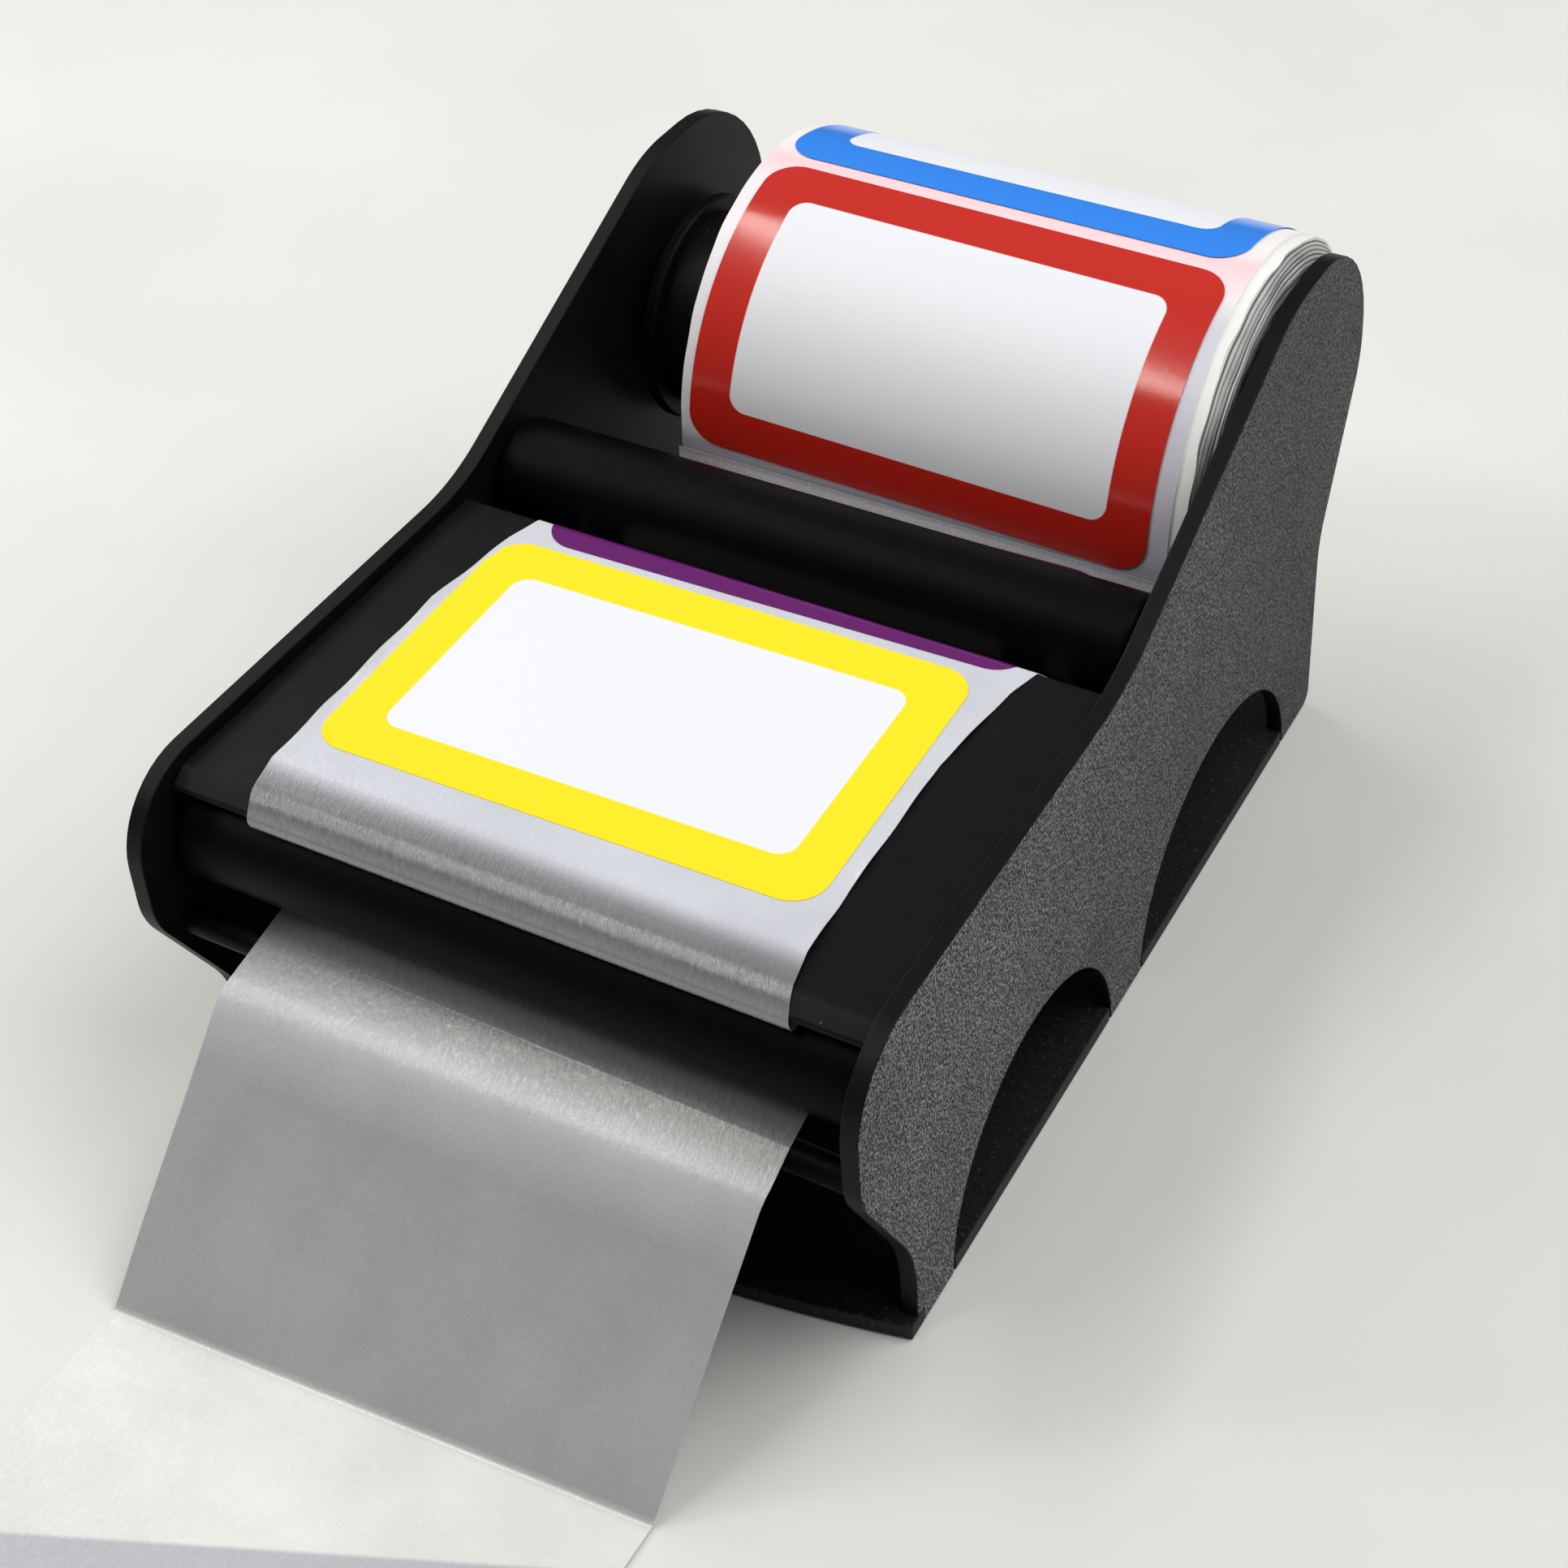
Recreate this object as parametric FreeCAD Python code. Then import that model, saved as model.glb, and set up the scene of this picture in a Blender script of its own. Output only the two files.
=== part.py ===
"""Desktop label dispenser: two side panels on a base plate carry a spool with a roll of
labels, two guide rollers, a platen with a peeling edge and a lower guide bar.

Millimetres. Y runs from front to back and is counted from the base plate's front corners,
Z from its underside, X from the mid-plane. Every piece is moved back by half the base
length when it is written, so the origin lies under the centre of the base plate."""
import FreeCAD, Part
import math
import os

V = FreeCAD.Vector

# frame
WIDTH = 128.0               # over both side panels
PANEL = 3.0                 # thickness of a side panel
BASE_LENGTH = 163.0
BASE_THICKNESS = 3.0
BASE_BOW = 7.0              # how far the front edge bows out in the middle
FRONT_STRIP = 4.0           # depth of the full-width strip in front of the panels
RIM_HEIGHT = 70.2           # top edge of the panels beside the platen
NOSE_REACH = 12.9           # overhang of the panels in front of the base
NOSE_DEPTH = 26.0           # height of the upright nose below the rim
NOSE_RADIUS = 15.0
TOE_REACH = 2.0
TOE_HEIGHT = 17.1
TOE_RADIUS = 28.0
LOBE_FRONT = 144.0          # where the slope meets the lobe's top
LOBE_COVER = 36.0           # lobe top above the spool axis
LOBE_REACH = 18.5           # overhang of the lobe behind the base
HEEL_REACH = 2.5            # overhang of the heel behind the base
HEEL_HEIGHT = 38.0
NECK_RADIUS = 40.0
LOBE_FRONT_RADIUS = 30.0
LOBE_REAR_RADIUS = 25.0
HEEL_RADIUS = 20.0
ARCHES = ((43.5, 29.5, 28.3), (118.5, 33.0, 28.4))   # centre, half width, height
TONGUE_GAP = 0.4            # base tongue to the arch's foot

# platen
PLATEN_SINK = 2.0           # platen top below the rim
PLATEN_THICKNESS = 3.0
PLATEN_FRONT = 4.0          # overhang of the platen in front of the base
PLATEN_REAR = 76.5
PLATEN_SIDE_GAP = 1.3
PLATEN_EDGE = 1.0           # rounding of the rear upper edge
TENON_LENGTH = 16.0
TENON_HEIGHT = 1.8
TENON_PLACES = (12.0, 58.0) # tenon centres
POCKET_DEPTH = 1.8
FIT = 0.1                   # free fit of tenons and keys

# rollers and bar
ROLLER_D = 18.0
ROLLER_END = 2.0            # rounding of the rollers' ends
END_GAP = 0.5               # turning parts to the panels
PIN_D = 8.0
PIN_CLEARANCE = 0.08        # radial
SOCKET_DEPTH = 2.0
PIN_FLOAT = 0.3             # pin end to the socket's floor
REAR_ROLLER_Y = 92.5
REAR_ROLLER_DROP = 3.2      # axis below the platen's top
FRONT_ROLLER_Y = 2.4
FRONT_ROLLER_GAP = 1.6      # roller top to the platen's underside
BAR_D = 5.0
BAR_BACK = 8.0              # guide bar axis in front of the front roller's
BAR_GAP = 5.24              # between front roller and guide bar
BAR_KEY = 3.4               # square ends of the guide bar

# spool
SPOOL_Y = 151.5
SPOOL_HEIGHT = 65.0
BARREL_D = 38.0
BARREL_WALL = 3.0
FLANGE_D = 44.0
FLANGE = 2.5
FLANGE_GAP = 2.5            # flanges to the panels
SHOULDER_D = 14.0
SPIGOT_LENGTH = 10.0
SPIGOT_GAP = 0.1

# label stock
CORE_WALL = 2.5
CORE_OVERHANG = 0.7         # core beyond the paper at each end
ROLL_R = 39.3
ROLL_STEPS = 6
TELESCOPE = 2.2             # how far the middle turns have crept sideways
LINER_WIDTH = 94.4
LINER = 0.3
LABEL = 0.2
LABEL_WIDTH = 88.9
LABEL_LENGTH = 57.15
LABEL_GAP = 3.2
LABEL_CORNER = 6.0
WEB_GAP = 0.3               # moving surfaces to the paper
WEB_X = -1.9                # centre of the strip on the platen
LABEL_DRIFT = 0.5           # labels left of the strip's centre
YELLOW_REAR = 69.8          # rear edge of the label on the platen
LOOP_SHARE = 0.58           # loop radius over the way from the roll to the rear roller
LOOP_DROP = 5.5             # loop centre below the rear roller's axis
CREASE_Y = -14.0            # centre of the soft bend in the tail
CREASE_DROP = 4.5           # bend's centre below the guide bar's axis
CREASE_R = 4.0
FOLD_Y = -47.5              # where the tail meets the table
FOLD_R = 1.0

# derived
HALF = WIDTH / 2
INNER = HALF - PANEL
LOBE_HEIGHT = SPOOL_HEIGHT + LOBE_COVER
PLATEN_TOP = RIM_HEIGHT - PLATEN_SINK
PLATEN_BOTTOM = PLATEN_TOP - PLATEN_THICKNESS
ROLLER_R = ROLLER_D / 2
REAR_ROLLER_Z = PLATEN_TOP - REAR_ROLLER_DROP
FRONT_ROLLER_Z = PLATEN_BOTTOM - FRONT_ROLLER_GAP - ROLLER_R
BAR_Y = FRONT_ROLLER_Y - BAR_BACK
BAR_SPAN = ROLLER_R + BAR_D / 2 + BAR_GAP
BAR_Z = FRONT_ROLLER_Z - math.sqrt(BAR_SPAN ** 2 - BAR_BACK ** 2)
SOCKET_R = PIN_D / 2 + PIN_CLEARANCE
FLANGE_FACE = INNER - FLANGE_GAP
BARREL_END = FLANGE_FACE - FLANGE
CORE_LENGTH = LINER_WIDTH + 2 * CORE_OVERHANG
ROLL_X = BARREL_END - CORE_LENGTH / 2
FEED_X = (ROLL_X + WEB_X) / 2
PIN_END = INNER + SOCKET_DEPTH - PIN_FLOAT
CORE_R = BARREL_D / 2 + CORE_WALL
LABEL_PITCH = LABEL_LENGTH + LABEL_GAP
FLAT_Z = LINER / 2          # middle of the paper on the table


def outline(points):
    """Closed wire in the YZ plane through (y, z, corner radius) points."""
    corners = []
    for before, here, after in zip(points[-1:] + points[:-1], points, points[1:] + points[:1]):
        at = V(0, here[0], here[1])
        back = (V(0, before[0], before[1]) - at).normalize()
        ahead = (V(0, after[0], after[1]) - at).normalize()
        half = back.getAngle(ahead) / 2
        reach = here[2] / math.tan(half)
        middle = (back + ahead).normalize() * (here[2] / math.sin(half) - here[2])
        corners.append((at + back * reach, at + middle, at + ahead * reach, here[2]))
    edges = []
    for corner, following in zip(corners, corners[1:] + corners[:1]):
        if corner[3] > 0:
            edges.append(Part.Arc(corner[0], corner[1], corner[2]).toShape())
        edges.append(Part.LineSegment(corner[2], following[0]).toShape())
    return Part.Wire(edges)


def slab(wire, x0, x1):
    """Solid between x0 and x1 with the given section."""
    solid = Part.Face(wire).extrude(V(x1 - x0, 0, 0))
    solid.translate(V(x0, 0, 0))
    return solid


def box(x0, x1, y0, y1, z0, z1):
    """Box between two opposite corners."""
    return Part.makeBox(x1 - x0, y1 - y0, z1 - z0, V(x0, y0, z0))


def rod(radius, x0, x1, y, z):
    """Round bar along X."""
    return Part.makeCylinder(radius, x1 - x0, V(x0, y, z), V(1, 0, 0))


def along(run, s):
    """Point and heading at length s of a run (y, z, heading, length, curvature)."""
    y, z, heading, _, bend = run
    if abs(bend) < 1e-9:
        return y + s * math.cos(heading), z + s * math.sin(heading), heading
    turned = heading + bend * s
    across = (math.sin(turned) - math.sin(heading)) / bend
    up = (math.cos(heading) - math.cos(turned)) / bend
    return y + across, z + up, turned


def belt(stations):
    """Runs of a strip led round (y, z, radius) stations by their common tangents.

    A positive radius is turned to the left, a negative one to the right."""
    headings = []
    for (y1, z1, r1), (y2, z2, r2) in zip(stations, stations[1:]):
        span = math.hypot(y2 - y1, z2 - z1)
        headings.append(math.atan2(z2 - z1, y2 - y1) - math.asin((r2 - r1) / span))
    runs = []
    for i, heading in enumerate(headings):
        y1, z1, r1 = stations[i]
        y2, z2, r2 = stations[i + 1]
        if i > 0:
            turn = (heading - headings[i - 1]) % (2 * math.pi)
            if r1 < 0:
                turn -= 2 * math.pi
            start = headings[i - 1]
            at = (y1 + r1 * math.sin(start), z1 - r1 * math.cos(start))
            runs.append((at[0], at[1], start, turn * r1, 1 / r1))
        straight = math.sqrt((y2 - y1) ** 2 + (z2 - z1) ** 2 - (r2 - r1) ** 2)
        runs.append((y1 + r1 * math.sin(heading), z1 - r1 * math.cos(heading), heading, straight, 0.0))
    return runs


def portion(runs, start, end):
    """The part of a strip between two lengths along it."""
    part = []
    passed = 0.0
    for run in runs:
        low = max(start - passed, 0.0)
        high = min(end - passed, run[3])
        if high - low > 1e-6:
            y, z, heading = along(run, low)
            part.append((y, z, heading, high - low, run[4]))
        passed += run[3]
    return part


def total(runs):
    """Length of a strip."""
    return sum(run[3] for run in runs)


def shifted(runs, left):
    """The same strip moved sideways to its left."""
    moved = []
    for y, z, heading, length, bend in runs:
        share = 1 - left * bend
        at = (y - left * math.sin(heading), z + left * math.cos(heading))
        moved.append((at[0], at[1], heading, length * share, bend / share))
    return moved


def ribbon(runs, right, left, x, width):
    """Sheet that follows a strip, from one sideways offset to another, centred on x."""
    edges = []
    ends = []
    for offset in (right, left):
        side = shifted(runs, offset)
        for run in side:
            first, middle, last = (along(run, run[3] * share)[:2] for share in (0, 0.5, 1))
            if abs(run[4]) < 1e-9:
                edges.append(Part.LineSegment(V(0, *first), V(0, *last)).toShape())
            else:
                edges.append(Part.Arc(V(0, *first), V(0, *middle), V(0, *last)).toShape())
        ends.append((along(side[0], 0)[:2], along(side[-1], side[-1][3])[:2]))
    for end in (0, 1):
        edges.append(Part.LineSegment(V(0, *ends[0][end]), V(0, *ends[1][end])).toShape())
    return slab(Part.Wire(Part.__sortEdges__(edges)), x - width / 2, x + width / 2)


def round_corners(sheet, radius):
    """Round the four upright corners of a thin sheet."""
    short = [edge for edge in sheet.Edges if edge.Length < 2 * LABEL]
    return sheet.makeFillet(radius, short)


def panel_outline():
    """Side view of a panel, from the toe round the nose, the rim and the lobe to the heel."""
    nose = RIM_HEIGHT - NOSE_DEPTH
    heel = BASE_LENGTH + HEEL_REACH
    back = BASE_LENGTH + LOBE_REACH
    return outline([
        (FRONT_STRIP, 0, 0),
        (FRONT_STRIP, BASE_THICKNESS, 0),
        (TOE_REACH, BASE_THICKNESS, 0),
        (TOE_REACH, TOE_HEIGHT, TOE_RADIUS),
        (-NOSE_REACH, nose, NOSE_RADIUS),
        (-NOSE_REACH, RIM_HEIGHT, NOSE_RADIUS),
        (PLATEN_REAR, RIM_HEIGHT, NECK_RADIUS),
        (LOBE_FRONT, LOBE_HEIGHT, LOBE_FRONT_RADIUS),
        (back, LOBE_HEIGHT, LOBE_REAR_RADIUS),
        (back, SPOOL_HEIGHT + 4, HEEL_RADIUS),
        (heel, HEEL_HEIGHT, HEEL_RADIUS),
        (heel, 0, 3.0),
    ])


def arch(centre, half_width, height, x0, x1):
    """Elliptical cutter of an arch, centred on the floor."""
    ellipse = Part.Ellipse(V(0, centre + half_width, 0), V(0, centre, height), V(0, centre, 0))
    return slab(Part.Wire([ellipse.toShape()]), x0, x1)


def side_panel(side):
    """Panel on the left (-1) or right (+1) with arches, pin sockets and pockets."""
    low, high = sorted((side * INNER, side * HALF))
    panel = slab(panel_outline(), low, high)
    for centre, half_width, height in ARCHES:
        panel = panel.cut(arch(centre, half_width, height, low - 1, high + 1))
    low, high = sorted((side * (INNER - 1), side * (INNER + SOCKET_DEPTH)))
    for y, z in ((SPOOL_Y, SPOOL_HEIGHT), (REAR_ROLLER_Y, REAR_ROLLER_Z), (FRONT_ROLLER_Y, FRONT_ROLLER_Z)):
        panel = panel.cut(rod(SOCKET_R, low, high, y, z))
    key = BAR_KEY / 2
    panel = panel.cut(box(low, high, BAR_Y - key, BAR_Y + key, BAR_Z - key, BAR_Z + key))
    low, high = sorted((side * (INNER - 1), side * (INNER + POCKET_DEPTH)))
    for centre in TENON_PLACES:
        reach = TENON_LENGTH / 2 + FIT
        top = PLATEN_BOTTOM + TENON_HEIGHT + FIT
        panel = panel.cut(box(low, high, centre - reach, centre + reach, PLATEN_BOTTOM, top))
    return panel


def base_plate():
    """Plate between the panels, bowed in front, with a tongue in every arch."""
    front = Part.Arc(V(-HALF, 0, 0), V(0, -BASE_BOW, 0), V(HALF, 0, 0)).toShape()
    corners = (V(HALF, 0, 0), V(HALF, FRONT_STRIP, 0), V(-HALF, FRONT_STRIP, 0), V(-HALF, 0, 0))
    sides = [Part.LineSegment(a, b).toShape() for a, b in zip(corners, corners[1:])]
    plate = Part.Face(Part.Wire([front] + sides)).extrude(V(0, 0, BASE_THICKNESS))
    plate = plate.fuse(box(-INNER, INNER, FRONT_STRIP / 2, BASE_LENGTH, 0, BASE_THICKNESS))
    for centre, half_width, height in ARCHES:
        reach = half_width * math.sqrt(1 - (BASE_THICKNESS / height) ** 2) - TONGUE_GAP
        plate = plate.fuse(box(-HALF, HALF, centre - reach, centre + reach, 0, BASE_THICKNESS))
    return plate.removeSplitter()


def platen():
    """Flat plate with a round peeling edge and two tenons on each side."""
    nose = PLATEN_THICKNESS / 2
    section = outline([
        (-PLATEN_FRONT, PLATEN_BOTTOM, nose * 0.999),
        (PLATEN_REAR, PLATEN_BOTTOM, 0),
        (PLATEN_REAR, PLATEN_TOP, PLATEN_EDGE),
        (-PLATEN_FRONT, PLATEN_TOP, nose * 0.999),
    ])
    edge = INNER - PLATEN_SIDE_GAP
    plate = slab(section, -edge, edge)
    end = INNER + POCKET_DEPTH - FIT
    for centre in TENON_PLACES:
        half = TENON_LENGTH / 2
        top = PLATEN_BOTTOM + TENON_HEIGHT
        plate = plate.fuse(box(-end, end, centre - half, centre + half, PLATEN_BOTTOM, top))
    return plate.removeSplitter()


def roller(y, z):
    """Round-ended roller with a pin at each end."""
    reach = INNER - END_GAP
    body = rod(ROLLER_R, -reach, reach, y, z)
    rims = [edge for edge in body.Edges if isinstance(edge.Curve, Part.Circle)]
    body = body.makeFillet(ROLLER_END, rims)
    return body.fuse(rod(PIN_D / 2, -PIN_END, PIN_END, y, z)).removeSplitter()


def guide_bar():
    """Thin bar whose square ends keep it from turning."""
    key = BAR_KEY / 2
    end = INNER + SOCKET_DEPTH - FIT
    bar = rod(BAR_D / 2, -INNER, INNER, BAR_Y, BAR_Z)
    return bar.fuse(box(-end, end, BAR_Y - key, BAR_Y + key, BAR_Z - key, BAR_Z + key))


def spool_hub():
    """Hollow barrel with the left flange, shoulder and pin."""
    y, z = SPOOL_Y, SPOOL_HEIGHT
    inside = -BARREL_END
    hub = rod(BARREL_D / 2, inside, BARREL_END, y, z)
    hub = hub.fuse(rod(FLANGE_D / 2, -FLANGE_FACE, inside, y, z))
    hub = hub.cut(rod(BARREL_D / 2 - BARREL_WALL, inside, BARREL_END + 1, y, z))
    hub = hub.fuse(rod(SHOULDER_D / 2, END_GAP - INNER, -FLANGE_FACE, y, z))
    return hub.fuse(rod(PIN_D / 2, -PIN_END, END_GAP - INNER, y, z)).removeSplitter()


def spool_cap():
    """Right flange with the spigot that closes the barrel, shoulder and pin."""
    y, z = SPOOL_Y, SPOOL_HEIGHT
    cap = rod(FLANGE_D / 2, BARREL_END, FLANGE_FACE, y, z)
    inner = BARREL_D / 2 - BARREL_WALL - SPIGOT_GAP
    cap = cap.fuse(rod(inner, BARREL_END - SPIGOT_LENGTH, BARREL_END, y, z))
    cap = cap.fuse(rod(SHOULDER_D / 2, FLANGE_FACE, INNER - END_GAP, y, z))
    return cap.fuse(rod(PIN_D / 2, INNER - END_GAP, PIN_END, y, z)).removeSplitter()


def core():
    """Cardboard tube on the barrel, against the right flange."""
    tube = rod(CORE_R, BARREL_END - CORE_LENGTH, BARREL_END, SPOOL_Y, SPOOL_HEIGHT)
    return tube.cut(rod(BARREL_D / 2, -HALF, HALF, SPOOL_Y, SPOOL_HEIGHT))


def label_roll():
    """Wound turns round the core; the middle turns have crept out to the right."""
    step = (ROLL_R - CORE_R) / ROLL_STEPS
    left = ROLL_X - LINER_WIDTH / 2
    ends = []
    for i in range(ROLL_STEPS):
        creep = TELESCOPE * math.sin(math.pi * i / (ROLL_STEPS - 1))
        low = CORE_R + i * step
        ends.append((creep, low, low + step))
    points = []
    for creep, low, high in ends:
        points += [V(left + creep, 0, low), V(left + creep, 0, high)]
    for creep, low, high in reversed(ends):
        points += [V(left + LINER_WIDTH + creep, 0, high), V(left + LINER_WIDTH + creep, 0, low)]
    kept = [p for i, p in enumerate(points) if p.distanceToPoint(points[i - 1]) > 1e-6]
    face = Part.Face(Part.makePolygon(kept + kept[:1]))
    turns = face.revolve(V(0, 0, 0), V(1, 0, 0), 360)
    turns.translate(V(0, SPOOL_Y, SPOOL_HEIGHT))
    return turns


def label_on_roll(place):
    """Label on the roll's outer turn, counted from the one nearest to the feed loop."""
    start = (place * LABEL_PITCH + LABEL_LENGTH) / ROLL_R
    heading = 1.5 * math.pi - start
    y = SPOOL_Y - ROLL_R * math.cos(start)
    z = SPOOL_HEIGHT + ROLL_R * math.sin(start)
    run = (y, z, heading, LABEL_LENGTH, 1 / ROLL_R)
    return ribbon([run], -LABEL, 0, ROLL_X - LABEL_DRIFT, LABEL_WIDTH)


def web():
    """Middle line of the liner as two strips: feed loop to platen, platen to table."""
    outer = ROLL_R + LABEL + WEB_GAP + LINER / 2
    clear = ROLLER_R + WEB_GAP + LABEL + LINER / 2
    leave = SPOOL_Y - outer
    loop = LOOP_SHARE * (leave - REAR_ROLLER_Y)
    edge = PLATEN_EDGE + LINER / 2
    feed = belt([
        (leave, SPOOL_HEIGHT, 0),
        (leave - loop, REAR_ROLLER_Z - LOOP_DROP, -loop),
        (REAR_ROLLER_Y, REAR_ROLLER_Z, -clear),
        (PLATEN_REAR - PLATEN_EDGE, PLATEN_TOP - PLATEN_EDGE, edge),
        (0, PLATEN_TOP + LINER / 2, 0),
    ])
    nose = PLATEN_THICKNESS / 2
    table = belt([
        (PLATEN_REAR - PLATEN_EDGE, PLATEN_TOP + LINER / 2, 0),
        (nose - PLATEN_FRONT, PLATEN_TOP - nose, nose + LINER / 2),
        (FRONT_ROLLER_Y, FRONT_ROLLER_Z, -(ROLLER_R + WEB_GAP + LINER / 2)),
        (BAR_Y, BAR_Z, BAR_D / 2 + LINER / 2),
        (CREASE_Y, BAR_Z - CREASE_DROP, CREASE_R),
        (FOLD_Y, FLAT_Z + FOLD_R, -FOLD_R),
        (FOLD_Y - LABEL_PITCH, FLAT_Z, 0),
    ])
    return feed[:-1], table


def sheets():
    """The five stretches of liner and the labels on them."""
    feed, table = web()
    half = LINER / 2
    pieces = {
        "liner_feed_loop": ribbon(feed, -half, half, FEED_X, LINER_WIDTH),
        "liner_on_platen": ribbon(table[:1], -half, half, WEB_X, LINER_WIDTH),
        "liner_front_wrap": ribbon(table[1:8], -half, half, WEB_X, LINER_WIDTH),
        "liner_tail": ribbon(table[8:9], -half, half, WEB_X, LINER_WIDTH),
        "liner_tail_laid": ribbon(table[9:], -half, half, WEB_X, LINER_WIDTH),
    }
    front = PLATEN_REAR - PLATEN_EDGE - YELLOW_REAR
    yellow = portion(table[:1], front, front + LABEL_LENGTH)
    flat_label = ribbon(yellow, -half - LABEL, -half, WEB_X - LABEL_DRIFT, LABEL_WIDTH)
    pieces["label_yellow"] = round_corners(flat_label, LABEL_CORNER)
    whole = feed + table[:1]
    end = total(feed) + front - LABEL_GAP
    purple = portion(whole, end - LABEL_LENGTH, end)
    pieces["label_purple"] = ribbon(purple, -half - LABEL, -half, FEED_X, LABEL_WIDTH)
    print("feed", round(total(feed), 2), "table", [round(r[3], 2) for r in table])
    return pieces


def write(node, shape):
    """Write one piece with the origin under the centre of the base plate."""
    placed = shape.copy()
    placed.translate(V(0, -BASE_LENGTH / 2, 0))
    placed.exportStep("parts/" + node + ".step")
    print(node, len(placed.Solids), placed.isValid(), round(placed.Volume, 1))


os.makedirs("parts", exist_ok=True)
write("side_panel_left", side_panel(-1))
write("side_panel_right", side_panel(1))
write("base_plate", base_plate())
write("platen", platen())
write("rear_roller", roller(REAR_ROLLER_Y, REAR_ROLLER_Z))
write("front_roller", roller(FRONT_ROLLER_Y, FRONT_ROLLER_Z))
write("guide_bar", guide_bar())
write("spool_hub", spool_hub())
write("spool_end_cap", spool_cap())
write("roll_core", core())
write("label_roll", label_roll())
for place, name in enumerate(("red", "blue", "rear_upper", "rear_lower")):
    write("label_" + name, label_on_roll(place))
for node, sheet in sheets().items():
    write(node, sheet)
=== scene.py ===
"""Desktop label dispenser: printed side panels, base, platen and rollers, and a strip of
labels that runs from its roll over the platen, round the rollers and down to the table."""
import math

import bpy
import mathutils
import numpy as np
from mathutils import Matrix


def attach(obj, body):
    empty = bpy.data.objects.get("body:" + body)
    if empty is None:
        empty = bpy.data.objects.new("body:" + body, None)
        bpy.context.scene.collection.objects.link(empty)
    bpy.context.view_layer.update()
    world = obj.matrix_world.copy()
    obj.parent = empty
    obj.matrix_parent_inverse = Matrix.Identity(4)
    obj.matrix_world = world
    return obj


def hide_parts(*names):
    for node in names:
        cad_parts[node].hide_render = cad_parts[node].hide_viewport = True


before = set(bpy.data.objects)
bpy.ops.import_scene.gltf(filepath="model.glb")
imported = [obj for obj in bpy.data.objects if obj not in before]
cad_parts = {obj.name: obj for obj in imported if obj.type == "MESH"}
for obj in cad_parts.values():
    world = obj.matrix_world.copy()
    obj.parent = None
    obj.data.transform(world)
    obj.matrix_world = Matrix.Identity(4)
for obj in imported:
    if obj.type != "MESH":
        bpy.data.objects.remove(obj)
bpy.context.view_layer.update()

# ---------------------------------------------------------------- room, lamps and camera
# A pale sheet of paper on a table, windows on the left, a long thin warm lamp above and a
# broad bright ceiling. The room is dark towards the horizon, so upright black faces stay black.


def linear(code):
    """sRGB hex colour as linear RGBA: each channel c becomes ((c + 0.055) / 1.055) ** 2.4."""
    c = np.array([int(code[i:i + 2], 16) for i in (1, 3, 5)]) / 255
    return (*np.where(c > 0.04045, ((c + 0.055) / 1.055) ** 2.4, c / 12.92), 1.0)


def add(tree, kind, links=None, stops=(), **settings):
    """Adds a node with its settings. links maps each input to a socket or to a value, and
    stops are the (position, colour) pairs of a colour ramp."""
    made = tree.nodes.new(kind)
    for key, value in settings.items():
        setattr(made, key, value)
    for key, value in (links or {}).items():
        if isinstance(value, bpy.types.NodeSocket):
            tree.links.new(value, made.inputs[key])
        else:
            made.inputs[key].default_value = value
    for number, (position, colour) in enumerate(stops):
        if number > 1:
            made.color_ramp.elements.new(position)
        made.color_ramp.elements[number].position = position
        made.color_ramp.elements[number].color = colour
    return made


def new_material(name):
    """Material with an empty tree, its Principled shader and its output."""
    mat = bpy.data.materials.new(name)
    mat.use_nodes = True
    tree = mat.node_tree
    tree.nodes.clear()
    shader = add(tree, "ShaderNodeBsdfPrincipled")
    add(tree, "ShaderNodeOutputMaterial", {"Surface": shader.outputs[0]})
    return mat, tree, shader


scene = bpy.context.scene
scene.view_settings.view_transform = "Standard"

FLOOR_HALF = 3.0     # m
FLOOR_Z = -0.0003    # m, just under the base, so that the two share no plane
floor_mesh = bpy.data.meshes.new("table_top")
floor_mesh.from_pydata([(x * FLOOR_HALF, y * FLOOR_HALF, FLOOR_Z)
                        for x, y in ((-1, -1), (1, -1), (1, 1), (-1, 1))], [], [(0, 1, 2, 3)])
table_top = bpy.data.objects.new("table_top", floor_mesh)
scene.collection.objects.link(table_top)
# Uncoated paper is dull, and clouds of 110 mm of painted shade show where it does not lie quite flat.
paper, tree, shader = new_material("white backdrop paper")
where = add(tree, "ShaderNodeTexCoord").outputs["Object"]
mottle = add(tree, "ShaderNodeTexNoise", {"Vector": where, "Scale": 9.0, "Detail": 4.0})
tone = add(tree, "ShaderNodeValToRGB", {"Fac": mottle.outputs["Fac"]},
           [(0.32, linear("#dfdfdb")), (0.68, linear("#e6e6e2"))])
tree.links.new(tone.outputs["Color"], shader.inputs["Base Color"])
shader.inputs["Roughness"].default_value = 0.75
floor_mesh.materials.append(paper)

world = bpy.data.worlds.new("soft room")
scene.world = world
world.use_nodes = True
tree = world.node_tree
tree.nodes.clear()
where = add(tree, "ShaderNodeTexCoord").outputs["Generated"]
up = add(tree, "ShaderNodeSeparateXYZ", {"Vector": where}).outputs["Z"]
walls = add(tree, "ShaderNodeValToRGB", {"Fac": up}, [
    (height, (grey, grey, grey, 1)) for height, grey in ((0.0, 0.07), (0.3, 0.14), (1.0, 0.40))])
seen = add(tree, "ShaderNodeLightPath").outputs["Is Camera Ray"]
sky = add(tree, "ShaderNodeMix", {
    0: seen, 6: walls.outputs["Color"], 7: linear("#e9e9e6")}, data_type="RGBA")
glow = add(tree, "ShaderNodeBackground", {"Color": sky.outputs[2]})
add(tree, "ShaderNodeOutputWorld", {"Surface": glow.outputs[0]})

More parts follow.
